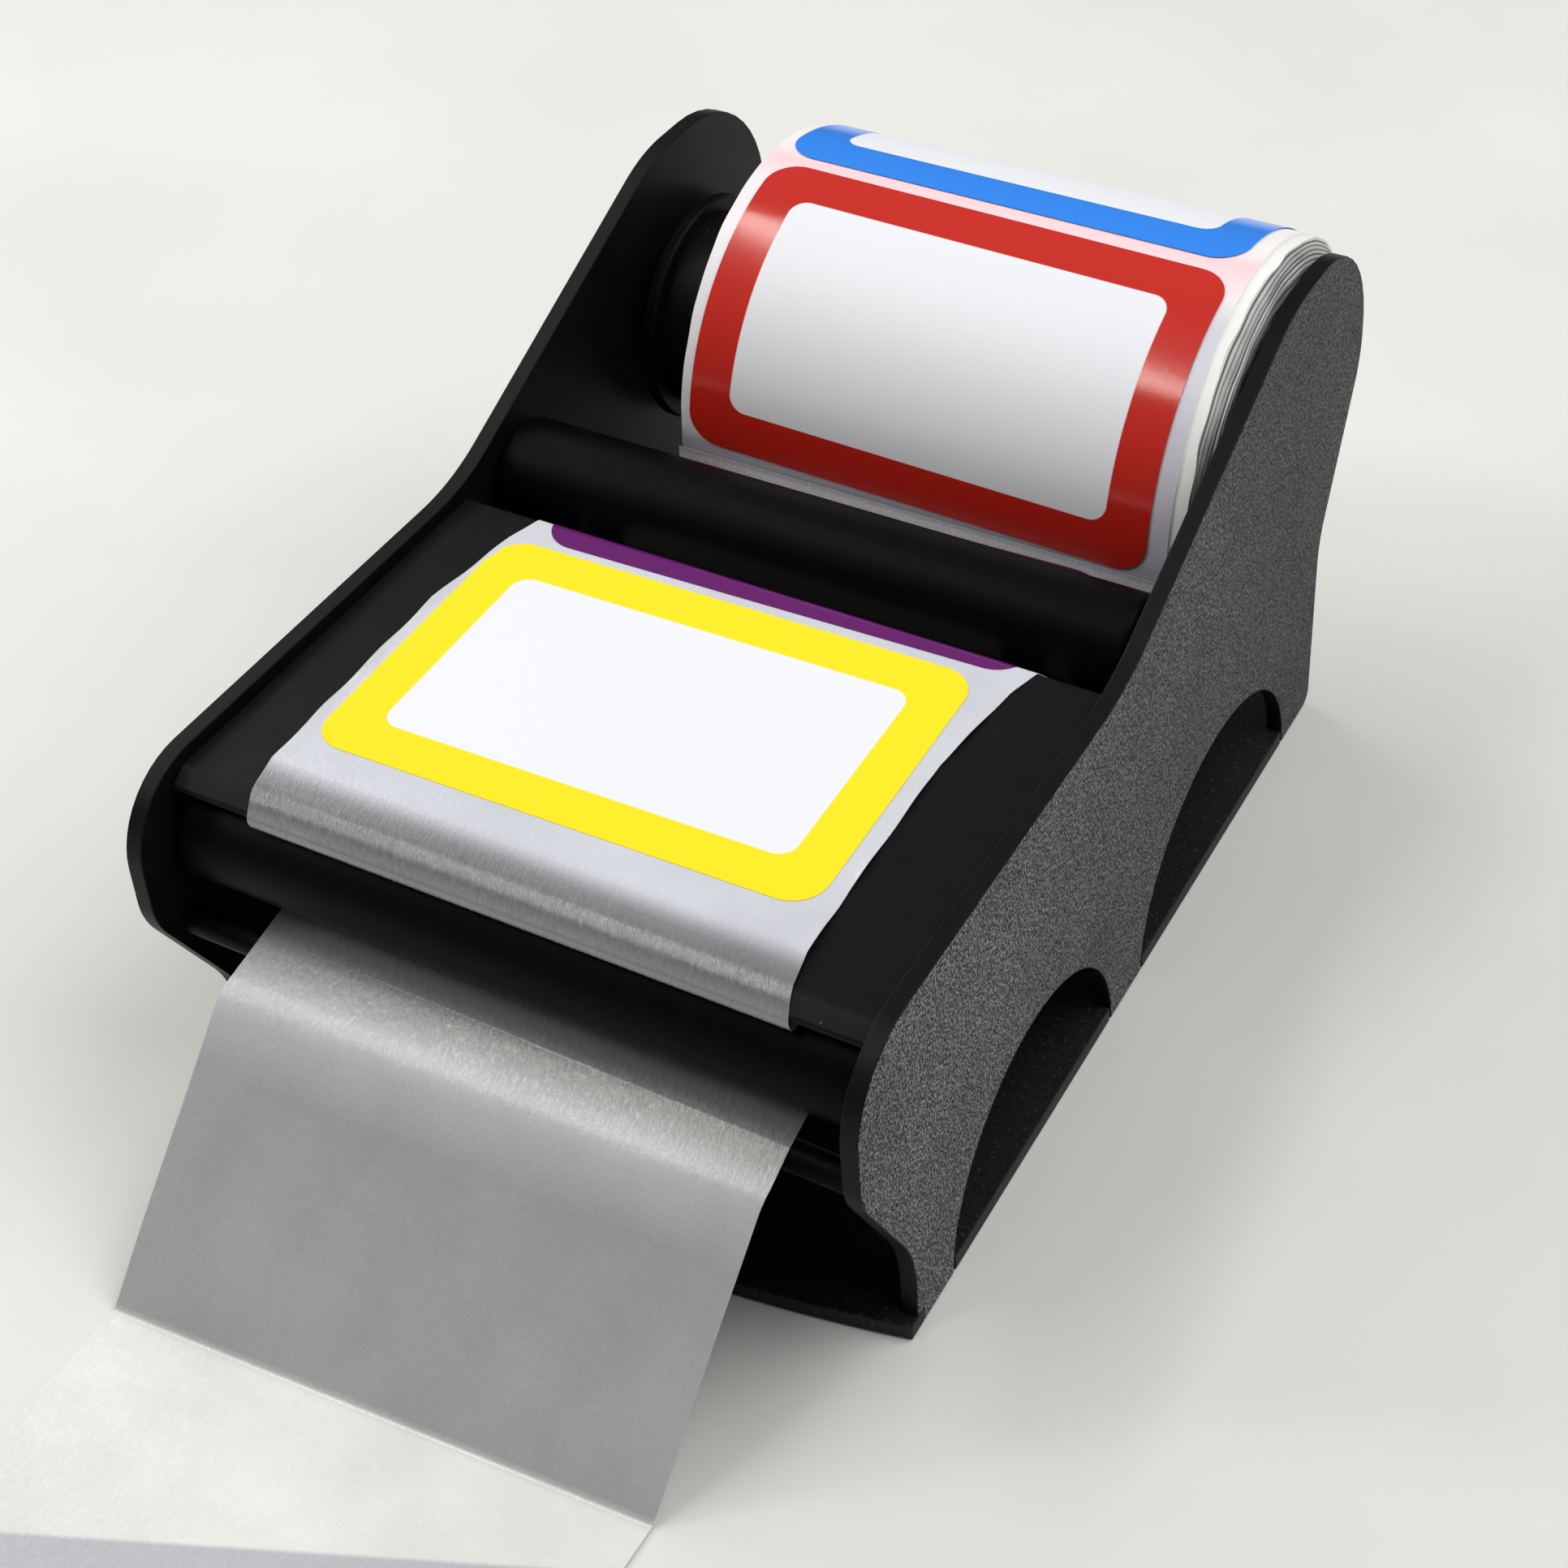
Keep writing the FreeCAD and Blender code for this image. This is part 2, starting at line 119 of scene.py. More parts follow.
DAYLIGHT = (1.0, 1.0, 1.0)
WARM = (1.0, 0.96, 0.88)
for name, spot, width, length, power, colour, turn in (
    ("window light", (-1.50, 0.55, 0.85), 1.0, 0.8, 9.5, DAYLIGHT, 0),
    ("side window", (-1.30, -0.60, 0.90), 0.28, 0.40, 5.0, DAYLIGHT, 0),
    ("tube lamp", (-0.61, -0.40, 1.45), 1.15, 0.09, 6.2, WARM, -16),
    ("ceiling light", (0.85, 0.28, 1.35), 1.2, 1.2, 15.5, DAYLIGHT, 0),
):
    lamp = bpy.data.lights.new(name, "AREA")
    lamp.shape = "RECTANGLE"
    lamp.size = width
    lamp.size_y = length
    lamp.energy = power
    lamp.color = colour
    holder = bpy.data.objects.new(name, lamp)
    scene.collection.objects.link(holder)
    holder.location = spot
    aim = mathutils.Vector(spot).to_track_quat("Z", "Y")
    holder.rotation_euler = (aim @ mathutils.Quaternion((0, 0, 1), math.radians(turn))).to_euler()

lens = bpy.data.cameras.new("desk camera")
lens.lens = 64.448
lens.sensor_width = 36.0
lens.shift_x = -0.06936
lens.shift_y = -0.18944
lens.clip_start = 0.02
camera = bpy.data.objects.new("desk camera", lens)
camera.location = (0.1952224, -0.3139814, 0.3542073)
camera.rotation_euler = tuple(math.radians(a) for a in (53.893147, 1.756842, 27.755310))
scene.collection.objects.link(camera)
scene.camera = camera

# ---------------------------------------------------------------- side panels
# Two flat panels, printed lying on a rough print bed in black PETG. The bed side faces out
# and sparkles grey; the rim and the inner face are smooth and dark.

BASE_LENGTH = 163.0
HALF = 64.0     # from the middle to the panels' outer faces, mm
INNER = 61.0    # and to their inner faces
FRONT_ARCH, REAR_ARCH = 43.5, 118.5    # middles of the arches


def place(points):
    """Millimetres counted from the base's front edge, to metres from its centre."""
    moved = np.array(points, dtype=float).reshape(-1, 3)
    moved[:, 1] -= BASE_LENGTH / 2
    return moved / 1000


def rounded(points, steps=12):
    """Closed outline through (a, b, radius) corners: each corner is an arc tangent to both
    of its sides, sampled at equal angles."""
    p = np.array(points, dtype=float)
    at = p[:, :2]
    back = np.roll(at, 1, 0) - at
    ahead = np.roll(at, -1, 0) - at
    back /= np.linalg.norm(back, axis=1)[:, None]
    ahead /= np.linalg.norm(ahead, axis=1)[:, None]
    half = np.arccos(np.clip((back * ahead).sum(1), -1, 1)) / 2
    middle = (back + ahead) / np.linalg.norm(back + ahead, axis=1)[:, None]
    centre = at + middle * (p[:, 2] / np.sin(half))[:, None]
    reach = p[:, 2] / np.tan(half)
    start = at + back * reach[:, None] - centre
    turn = (math.pi - 2 * half) * np.sign(back[:, 0] * ahead[:, 1] - back[:, 1] * ahead[:, 0])
    angle = np.arctan2(start[:, 1], start[:, 0])[:, None] - turn[:, None] * np.linspace(0, 1, steps)
    arcs = centre[:, None] + p[:, 2][:, None, None] * np.stack([np.cos(angle), np.sin(angle)], -1)
    return np.concatenate([arc if r > 0 else corner[None] for arc, corner, r in zip(arcs, at, p[:, 2])])


def make_object(name, points, faces, body, material, nodes=(), smooth=30.0):
    """Mesh object from points in metres that rides on a body and stands for CAD nodes."""
    mesh = bpy.data.meshes.new(name)
    mesh.from_pydata(np.asarray(points).tolist(), [], [tuple(int(i) for i in f) for f in faces])
    mesh.materials.append(material)
    mesh.shade_smooth()
    mesh.set_sharp_from_angle(angle=math.radians(smooth))
    made = bpy.data.objects.new(name, mesh)
    scene.collection.objects.link(made)
    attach(made, body)
    if nodes:
        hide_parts(*nodes)
    return made


def plate(name, outline, low, high, axis, body, material, nodes, edge=0.25):
    """An outline carried straight along an axis from low to high, with eased edges."""
    n = len(outline)
    ends = [np.insert(outline, axis, value, axis=1) for value in (low, high)]
    ring = np.arange(n)
    sides = np.stack([ring, np.roll(ring, -1), np.roll(ring, -1) + n, ring + n], 1)
    after = np.roll(outline, -1, 0)
    signed = np.sum(outline[:, 0] * after[:, 1] - outline[:, 1] * after[:, 0])
    flip = (signed > 0) == (axis == 1)
    faces = [list(f) for f in sides] + [list(ring[::-1]), list(ring + n)]
    faces = [f[::-1] if flip else f for f in faces]
    made = make_object(name, place(np.concatenate(ends)), faces, body, material, nodes)
    if edge:
        eased = made.modifiers.new("eased edges", "BEVEL")
        eased.width = edge / 1000
        eased.segments = 2
        eased.limit_method = "ANGLE"
        eased.angle_limit = math.radians(50)
        eased.harden_normals = True
    return made


def arch(centre, half_width, height, steps=48):
    """Half ellipse over the floor, from its rear foot to its front foot."""
    t = np.linspace(0, math.pi, steps)
    return np.stack([centre + half_width * np.cos(t), height * np.sin(t)], 1)


def panel_outline():
    """Toe, nose, rim, neck, lobe and heel as (y, z, radius) corners, then the two arches."""
    top = rounded([
        (4, 0, 0), (4, 3, 0), (2, 3, 0), (2, 17.1, 28),
        (-12.9, 44.2, 15), (-12.9, 70.2, 15),
        (76.5, 70.2, 40),
        (144, 101, 30), (181.5, 101, 25), (181.5, 69, 20),
        (165.5, 38, 20), (165.5, 0, 3),
    ])
    rear = arch(REAR_ARCH, 33.0, 28.4)
    front = arch(FRONT_ARCH, 29.5, 28.3)
    return np.concatenate([top, rear, front])


ROUGH_FROM = 0.06397    # m from the middle: only the outer faces lie beyond it


def printed_plastic(name, dark, light, gleam, rough_side):
    """Black PETG. The print bed leaves short raised strokes that scatter light to grey; where
    rough_side is set they show on the outer faces of the panels only. At 2300 to the metre,
    squeezed 1.7 times along the panel and drawn out upwards, a stroke is 0.25 by 0.55 mm.
    They are uneven in patches of 18 mm, and painted light and shade make them brighter towards the front
    and darker towards the rear. Elsewhere the layers are smooth and near black, with a grain of 4.5 mm and
    one speck of dust in every 8 mm."""
    mat, tree, shader = new_material(name)
    where = add(tree, "ShaderNodeTexCoord").outputs["Object"]
    dust = add(tree, "ShaderNodeTexVoronoi", {"Vector": where, "Scale": 130.0}, feature="F1")
    fine = add(tree, "ShaderNodeTexNoise", {"Vector": where, "Scale": 220.0, "Detail": 4.0})
    smooth = add(tree, "ShaderNodeValToRGB", {"Fac": fine.outputs["Fac"]},
                 [(0.3, linear(dark)), (0.7, linear(light))])
    speck = add(tree, "ShaderNodeValToRGB", {"Fac": dust.outputs["Distance"]},
                [(0.0, linear("#8f9090")), (0.02, linear("#000000"))])
    dusty = add(tree, "ShaderNodeMix", {
        0: 1.0, 6: smooth.outputs["Color"], 7: speck.outputs["Color"]}, data_type="RGBA", blend_type="ADD")
    shader.inputs["Specular IOR Level"].default_value = gleam
    if not rough_side:
        tree.links.new(dusty.outputs[2], shader.inputs["Base Color"])
        shader.inputs["Roughness"].default_value = 0.45
        relief = add(tree, "ShaderNodeBump", {
            "Strength": 0.05, "Distance": 0.0001, "Height": fine.outputs["Fac"]})
        tree.links.new(relief.outputs[0], shader.inputs["Normal"])
        return mat
    upright = add(tree, "ShaderNodeMapping", {"Vector": where, "Scale": (1.0, 1.7, 0.8)})
    strokes = add(tree, "ShaderNodeTexNoise", {
        "Vector": upright.outputs[0], "Scale": 2300.0, "Detail": 2.0, "Roughness": 0.55, "Distortion": 0.4})
    patches = add(tree, "ShaderNodeTexNoise", {"Vector": where, "Scale": 55.0, "Detail": 3.0})
    sparkle = add(tree, "ShaderNodeValToRGB", {"Fac": strokes.outputs["Fac"]},
                  [(0.37, linear("#141516")), (0.50, linear("#38393b")), (0.61, linear("#929396"))])
    side = add(tree, "ShaderNodeSeparateXYZ", {"Vector": where})
    mottled = add(tree, "ShaderNodeMapRange", {
        "Value": patches.outputs["Fac"], "From Min": 0.3, "From Max": 0.7, "To Min": 0.85, "To Max": 1.1})
    # Painted light and shade: the strokes are brighter towards the front and darker towards the rear.
    painted_front_light = add(tree, "ShaderNodeMapRange", {
        "Value": side.outputs["Y"], "From Min": -0.07, "From Max": 0.07, "To Min": 1.15, "To Max": 0.6})
    tone = add(tree, "ShaderNodeMath", {0: mottled.outputs[0], 1: painted_front_light.outputs[0]}, operation="MULTIPLY")
    rough = add(tree, "ShaderNodeVectorMath", {
        0: sparkle.outputs["Color"], "Scale": tone.outputs[0]}, operation="SCALE")
    out = add(tree, "ShaderNodeMath", {0: side.outputs["X"]}, operation="ABSOLUTE")
    mask = add(tree, "ShaderNodeMath", {
        0: out.outputs[0], 1: ROUGH_FROM}, operation="GREATER_THAN").outputs[0]
    colour = add(tree, "ShaderNodeMix", {
        0: mask, 6: dusty.outputs[2], 7: rough.outputs[0]}, data_type="RGBA")
    tree.links.new(colour.outputs[2], shader.inputs["Base Color"])
    gloss = add(tree, "ShaderNodeMapRange", {"Value": mask, "To Min": 0.42, "To Max": 0.6})
    tree.links.new(gloss.outputs[0], shader.inputs["Roughness"])
    depth = add(tree, "ShaderNodeMapRange", {"Value": mask, "To Min": 0.02, "To Max": 0.5})
    relief = add(tree, "ShaderNodeBump", {
        "Strength": depth.outputs[0], "Distance": 0.00012, "Height": strokes.outputs["Fac"]})
    tree.links.new(relief.outputs[0], shader.inputs["Normal"])
    return mat


panel_plastic = printed_plastic("black PETG, bed side out", "#0c0c0d", "#111112", 0.12, True)
for name, low, high, node in (
    ("panel_left", -HALF, -INNER, "side_panel_left"), ("panel_right", INNER, HALF, "side_panel_right"),
):
    panel = plate(name, panel_outline(), low, high, 0, "stand", panel_plastic, [node])

# ---------------------------------------------------------------- base plate and platen
# The base plate was printed bed side up, so its top is rough. Its tongues fill the feet of
# the arches and its front edge bows out. The platen is smooth with a round peeling edge.


def base_outline():
    """Bowed front (arc of sagitta 7 mm over 128 mm), full-width strip, then one tongue for
    every arch on both sides."""
    sagitta = 7.0
    radius = (HALF ** 2 + sagitta ** 2) / (2 * sagitta)
    a = np.linspace(-1, 1, 49) * math.asin(HALF / radius)
    bow = np.stack([radius * np.sin(a), radius - sagitta - radius * np.cos(a)], 1)
    side = [(HALF, 4), (INNER, 4)]
    for centre, reach in ((FRONT_ARCH, 28.93), (REAR_ARCH, 32.42)):
        front, rear = centre - reach, centre + reach
        side += [(INNER, front), (HALF, front), (HALF, rear), (INNER, rear)]
    side = np.array([*side, (INNER, BASE_LENGTH)])
    return np.concatenate([bow, side, side[::-1] * (-1, 1)])


def rough_plastic(name):
    """Black PETG from a rough print bed: grains of 0.8 mm, at 1300 to the metre, a few of
    which catch the light."""
    mat, tree, shader = new_material(name)
    where = add(tree, "ShaderNodeTexCoord").outputs["Object"]
    grain = add(tree, "ShaderNodeTexNoise", {
        "Vector": where, "Scale": 1300.0, "Detail": 3.0, "Roughness": 0.7})
    colour = add(tree, "ShaderNodeValToRGB", {"Fac": grain.outputs["Fac"]},
                 [(0.38, linear("#08080a")), (0.6, linear("#141416")), (0.76, linear("#4a4b4d"))])
    tree.links.new(colour.outputs["Color"], shader.inputs["Base Color"])
    relief = add(tree, "ShaderNodeBump", {
        "Strength": 0.6, "Distance": 0.0001, "Height": grain.outputs["Fac"]})
    tree.links.new(relief.outputs[0], shader.inputs["Normal"])
    shader.inputs["Roughness"].default_value = 0.55
    shader.inputs["Specular IOR Level"].default_value = 0.25
    return mat


BASE_THICK = 3.0
base_plastic = rough_plastic("black PETG, bed side up")
base = plate("base", base_outline(), 0, BASE_THICK, 2, "stand", base_plastic, ["base_plate"], 0.2)

smooth_plastic = printed_plastic("black PETG, smooth", "#0d0d0e", "#121213", 0.12, False)
PLATEN_HALF = 60.6
PLATEN_REAR, PLATEN_UNDER, PLATEN_TOP = 76.5, 65.2, 68.2
platen_section = rounded([
    (-3.8, PLATEN_UNDER, 0.5), (PLATEN_REAR, PLATEN_UNDER, 0.3), (PLATEN_REAR, PLATEN_TOP, 1.0),
    (-0.6, PLATEN_TOP, 3.0), (-3.4, 66.3, 0.8),
], 9)
platen = plate("platen_plate", platen_section, -PLATEN_HALF, PLATEN_HALF, 0, "stand", smooth_plastic,
               ["platen"], 0.15)

# ---------------------------------------------------------------- rollers, guide bar, spool
# Printed upright in black PETG, so their layers run round them. They are coloured darker than the plates as
# painted shade, for they sit under the platen. Each turns in blind sockets of the panels, except for the
# bar, which is fixed. The spool is a hub with one flange and, pushed into its open end, a cap with the
# other.


def turned(name, profile, y, z, body, material, nodes=(), steps=96, smooth=35.0):
    """Surface of revolution: the (x, radius) profile turned round an axle along X, from disc
    to disc."""
    p = np.array(profile, dtype=float)
    t = np.linspace(0, 2 * math.pi, steps, endpoint=False)
    x = np.repeat(p[:, 0], steps)
    r = np.repeat(p[:, 1], steps)
    t = np.tile(t, len(p))
    points = np.stack([x, y + r * np.cos(t), z + r * np.sin(t)], 1)
    i = np.arange(len(p) - 1)[:, None] * steps
    j = np.arange(steps)[None, :]
    k = (j + 1) % steps
    quads = np.stack([i + j, i + k, i + k + steps, i + j + steps], -1).reshape(-1, 4)
    caps = [list(range(steps))[::-1], list((len(p) - 1) * steps + np.arange(steps))]
    return make_object(name, place(points), [list(q) for q in quads] + caps, body, material, nodes, smooth)


def round_end(x, r, radius, side):
    """Quarter round from the end face to the barrel, side -1 at the left end, 1 at the right:
    x - side radius (1 - cos b) and r - radius (1 - sin b) for b from 0 to a right angle."""
    a = np.linspace(0, math.pi / 2, 8)
    if side > 0:
        a = a[::-1]
    return [(x - side * radius * (1 - np.sin(math.pi / 2 - b)), r - radius * (1 - np.sin(b))) for b in a]


PIN_END = 62.7    # how far every pin reaches into its socket, from the middle
PIN_R = 4.0
REACH = 60.5      # end faces of everything that turns
ROLLER_R = 9.0
BAR_R = 2.5
REAR_Y, REAR_Z = 92.5, 65.0
FRONT_Y, FRONT_Z = 2.4, 54.6
BAR_Y, BAR_Z = -5.6, 39.9

# Darker colours than the plates: painted shade under the platen.
shaded_roller_plastic = printed_plastic("black PETG, darkened as painted shade", "#040404", "#070708", 0.06, False)
for name, y, z, radius, ease, pin, reach, body, node in (
    ("rear_guide_roller", REAR_Y, REAR_Z, ROLLER_R, 2.0, PIN_R, REACH, "rear_roller", "rear_roller"),
    ("front_guide_roller", FRONT_Y, FRONT_Z, ROLLER_R, 2.0, PIN_R, REACH, "front_roller", "front_roller"),
    ("lower_bar", BAR_Y, BAR_Z, BAR_R, 0.4, 1.7, INNER, "stand", "guide_bar"),
):
    profile = [
        (-PIN_END, pin), (-reach, pin), *round_end(-reach, radius, ease, -1),
        *round_end(reach, radius, ease, 1), (reach, pin), (PIN_END, pin)]
    piece = turned(name, profile, y, z, body, shaded_roller_plastic, [node])

SPOOL_Y, SPOOL_Z = 151.5, 65.0
SHOULDER_R = 7.0
FLANGE_R, FLANGE_EASE = 22.0, 0.4
FLANGE_OUT, FLANGE_IN = 58.5, 56.0
BARREL_R, BARREL_BORE, PLUG_R = 19.0, 16.0, 15.9
flange = [
    (FLANGE_IN, FLANGE_R - FLANGE_EASE), (FLANGE_IN + FLANGE_EASE, FLANGE_R),
    (FLANGE_OUT - FLANGE_EASE, FLANGE_R), (FLANGE_OUT, FLANGE_R - FLANGE_EASE),
    (FLANGE_OUT, SHOULDER_R), (REACH, SHOULDER_R), (REACH, PIN_R), (PIN_END, PIN_R)]
for name, profile, node in (
    ("spool_barrel", [
        *((-x, r) for x, r in flange[::-1]),
        (-FLANGE_IN, BARREL_R), (FLANGE_IN, BARREL_R), (FLANGE_IN, BARREL_BORE), (-55.9, BARREL_BORE),
    ], "spool_hub"),
    ("spool_cap", [(46, PLUG_R), (FLANGE_IN, PLUG_R), *flange], "spool_end_cap"),
):
    piece = turned(name, profile, SPOOL_Y, SPOOL_Z, "spool", smooth_plastic, [node])

# ---------------------------------------------------------------- roll of labels
# Glassine liner wound on a cardboard core. The turns have crept sideways and their edges are wavy, white
# where a label lies behind them and grey between, the darkest grey being painted shade.

ROLL_R = 39.3
ROLL_X = 8.1    # the roll's middle lies to the right of the dispenser's
ROLL_BORE = 21.6
CORE_OUT, CORE_IN = 21.5, 19.05
CORE_LEFT = -39.8    # its left end; its right end is at the cap's flange
LINER_WIDTH = 94.4

# The core is spiral-wound board: fibres of 1 mm, dull and warm.
mat, tree, shader = new_material("grey cardboard")
where = add(tree, "ShaderNodeTexCoord").outputs["Object"]
fibre = add(tree, "ShaderNodeTexNoise", {"Vector": where, "Scale": 900.0, "Detail": 4.0})
tone = add(tree, "ShaderNodeValToRGB", {"Fac": fibre.outputs["Fac"]},
           [(0.3, linear("#a58b6c")), (0.7, linear("#c2a98a"))])
tree.links.new(tone.outputs["Color"], shader.inputs["Base Color"])
shader.inputs["Roughness"].default_value = 0.85
tube = turned("core_tube", [
    (CORE_LEFT, CORE_IN), (CORE_LEFT, CORE_OUT), (FLANGE_IN, CORE_OUT), (FLANGE_IN, CORE_IN),
], SPOOL_Y, SPOOL_Z, "spool", mat, ["roll_core"])

# Depths under the outer turn between which one terrace of turns lies flat, how far each
# terrace has crept outwards, and how white its cut edges are.
depths = np.concatenate([
    [0, 0.3, 0.75], np.linspace(1.1, 4.1, 10), np.linspace(5.0, ROLL_R - ROLL_BORE, 15)])
terrace = np.arange(len(depths) - 1)
terrace_depth = (depths[1:] + depths[:-1]) / 2
creep = np.interp(terrace_depth, [0.15, 0.5, 0.9, 3.9, 6.0, 17.0], [0.0, 2.2, 2.4, 4.3, 4.0, 0.9])
creep = creep + np.where(terrace > 1, 0.16 * np.sin(2.3 * terrace), 0)
turn_tone = np.where(terrace < 2, 1.0, 0.34 + 0.36 * np.sin(1.9 * terrace ** 1.2))


def wound_end(side, steps=480):
    """End of the roll as terraces from the outer turn to the core. A terrace is flat between
    two radii at x = middle + creep + waves, the waves being three sines of the angle whose
    phase changes from terrace to terrace. They are three times as high on the second
    terrace, the loose turn under the labels. Gives the points and how white each row is."""
    row = np.repeat(terrace, 2)
    r = (ROLL_R - np.repeat(depths, 2)[1:-1])[:, None]
    a = np.linspace(0, 2 * math.pi, steps, endpoint=False)[None, :]
    n = row[:, None]
    wave = sum(height * np.sin(waves * a + phase * n) for height, waves, phase in (
        (0.05, 17, 0.4), (0.03, 29, -0.3), (0.12, 4, 0.5)))
    x = ROLL_X + side * LINER_WIDTH / 2 + creep[row][:, None] + wave * np.where(n == 1, 3.0, 1)
    return np.stack([x, SPOOL_Y - r * np.cos(a), SPOOL_Z + r * np.sin(a)], -1), turn_tone[row]


# The two ends meet at the outer turn and in the bore, so the roll is one closed skin.
left, left_tone = wound_end(-1)
right, right_tone = wound_end(1)
rows = np.concatenate([left[::-1], right])
rows_tone = np.concatenate([left_tone[::-1], right_tone])
count, steps = rows.shape[:2]
skin_row = len(left) - 1
i = np.arange(count)[:, None] * steps
j = np.arange(steps)[None, :]
k = (j + 1) % steps
down = (i + steps) % (count * steps)
quads = np.stack([i + j, down + j, down + k, i + k], -1).reshape(-1, 4)

# Cut by a rotary knife: the edges scatter white where labels swell the turns and look grey between them,
# with blotches of 8 mm. The darkest grey is painted shade for the dark gaps between the turns.
ends_paper, tree, shader = new_material("wound glassine, cut edges")
where = add(tree, "ShaderNodeTexCoord").outputs["Object"]
tone = add(tree, "ShaderNodeAttribute", attribute_name="turn_tone").outputs["Fac"]
blotch = add(tree, "ShaderNodeTexNoise", {"Vector": where, "Scale": 130.0, "Detail": 3.0})
mixed = add(tree, "ShaderNodeMath", {
    0: blotch.outputs["Fac"], 1: 0.5, 2: tone}, operation="MULTIPLY_ADD")
# The darkest stop is painted shade for the gaps between the turns.
edge = add(tree, "ShaderNodeValToRGB", {"Fac": mixed.outputs[0]},
           [(0.35, linear("#737372")), (0.65, linear("#c0c0be")), (1.0, linear("#f3f3f1"))])
tree.links.new(edge.outputs["Color"], shader.inputs["Base Color"])
relief = add(tree, "ShaderNodeBump", {
    "Strength": 0.2, "Distance": 0.0002, "Height": blotch.outputs["Fac"]})
tree.links.new(relief.outputs[0], shader.inputs["Normal"])
shader.inputs["Roughness"].default_value = 0.4

# The outer turn lets the ink of the labels under it shine through, pink between the red and the blue label
# and, on its right margin, lavender beside the red one. Its colours follow the arc up from the roll's
# foremost point. Round that point, where the strip peels off over a crease, it is painted grey as shade. It
# is crumpled in dents of 6 mm.
skin, tree, shader = new_material("glassine over labels")
ROUND_MM = 2 * math.pi * ROLL_R
RIGHT_MARGIN_FROM = 0.035    # m
where = add(tree, "ShaderNodeTexCoord").outputs["Object"]
flat = add(tree, "ShaderNodeUVMap", uv_map="flat_mm").outputs[0]
arc_at = add(tree, "ShaderNodeSeparateXYZ", {"Vector": flat}).outputs["Y"]
share = add(tree, "ShaderNodeMath", {0: arc_at, 1: 1 / ROUND_MM}, operation="MULTIPLY").outputs[0]
# The grey stops round arc 0 are painted shade under the crease where the strip peels off.
margin_ink, plain = (
    add(tree, "ShaderNodeValToRGB", {"Fac": share}, [(mm / ROUND_MM, linear(code)) for mm, code in (
        *before, (59, "#ffd3d8"), (62, "#fbe9eb"), (66, "#f6f4f5"),
        *after, (ROUND_MM - 4, "#efeef0"), (ROUND_MM - 3, "#c3c2ca"))]).outputs["Color"]
    for before, after in (
        ([(0, "#cfcdda"), (44, "#d6d4df"), (50, "#f1ecf1"), (54, "#fbdfe3")], [(240, "#efeef0")]),
        ([(0, "#c3c2ca"), (0.7, "#d5d4da"), (2, "#ecebef"), (53, "#f1ecf1"), (55, "#fbdfe3")], [])))
beside = add(tree, "ShaderNodeSeparateXYZ", {"Vector": where}).outputs["X"]
on_right = add(tree, "ShaderNodeMath", {0: beside, 1: RIGHT_MARGIN_FROM}, operation="GREATER_THAN")
shown = add(tree, "ShaderNodeMix", {0: on_right.outputs[0], 6: plain, 7: margin_ink}, data_type="RGBA")
tree.links.new(shown.outputs[2], shader.inputs["Base Color"])
crumple = add(tree, "ShaderNodeTexNoise", {"Vector": where, "Scale": 160.0, "Detail": 3.0})
relief = add(tree, "ShaderNodeBump", {
    "Strength": 0.25, "Distance": 0.0004, "Height": crumple.outputs["Fac"]})
tree.links.new(relief.outputs[0], shader.inputs["Normal"])
shader.inputs["Roughness"].default_value = 0.35

roll = make_object(
    "wound_roll", place(rows.reshape(-1, 3)), quads, "spool", ends_paper, ["label_roll"], 40.0)
roll.data.materials.append(skin)
face_row = np.repeat(np.arange(count), steps)
roll.data.polygons.foreach_set("material_index", (face_row == skin_row).astype(np.int32))
roll.data.attributes.new("turn_tone", "FLOAT", "POINT").data.foreach_set(
    "value", np.repeat(rows_tone, steps).astype(np.float32))
arc_mm = np.stack([j, j, j + 1, j + 1], -1) * (ROUND_MM / steps) + 0 * i[..., None]
flat_uv = np.stack([0 * arc_mm, arc_mm], -1)
roll.data.uv_layers.new(name="flat_mm").data.foreach_set("uv", flat_uv.astype(np.float32).ravel())

# ---------------------------------------------------------------- liner
# One strip of silvery glassine, 94 mm wide, slack between the roll and the rear roller,
# flat on the platen, peeled back round its edge, round the front roller, over the guide
# bar and down to the table, where it is folded at a perforation.

LAID_Z = 0.15          # middle of the paper over the table
LAID_LENGTH = 60.3
LINER_THICK = 0.1      # drawn a little thicker than the real 0.06 mm, to show its edge


def strip_path(stations, per_run=40):
    """Middle line led round (y, z, radius) stations by their common tangents, radius above
    zero for a left turn. Gives y and z of every sample, run after run."""
    c = np.array(stations, dtype=float)
    step = np.diff(c, axis=0)
    span = np.hypot(step[:, 0], step[:, 1])
    heading = np.arctan2(step[:, 1], step[:, 0]) - np.arcsin(step[:, 2] / span)
    turn = np.mod(np.diff(heading), 2 * math.pi)
    turn = np.where(c[1:-1, 2] < 0, turn - 2 * math.pi, turn)
    total = np.concatenate([[heading[0]], heading[0] + np.cumsum(turn)])
    share = np.linspace(0, 1, per_run)[None, :]
    normal = np.stack([-np.sin(total), np.cos(total)], 1)
    first = c[:-1, :2] - c[:-1, 2:3] * normal
    last = c[1:, :2] - c[1:, 2:3] * normal
    lines = first[:, None] + (last - first)[:, None] * share[..., None]
    angle = total[:-1, None] + turn[:, None] * share
    arcs = c[1:-1, None, :2] - c[1:-1, None, 2:3] * np.stack([-np.sin(angle), np.cos(angle)], -1)
    way = [lines[0]]
    for arc, line in zip(arcs, lines[1:]):
        way += [arc[1:], line[1:]]
    return np.concatenate(way)


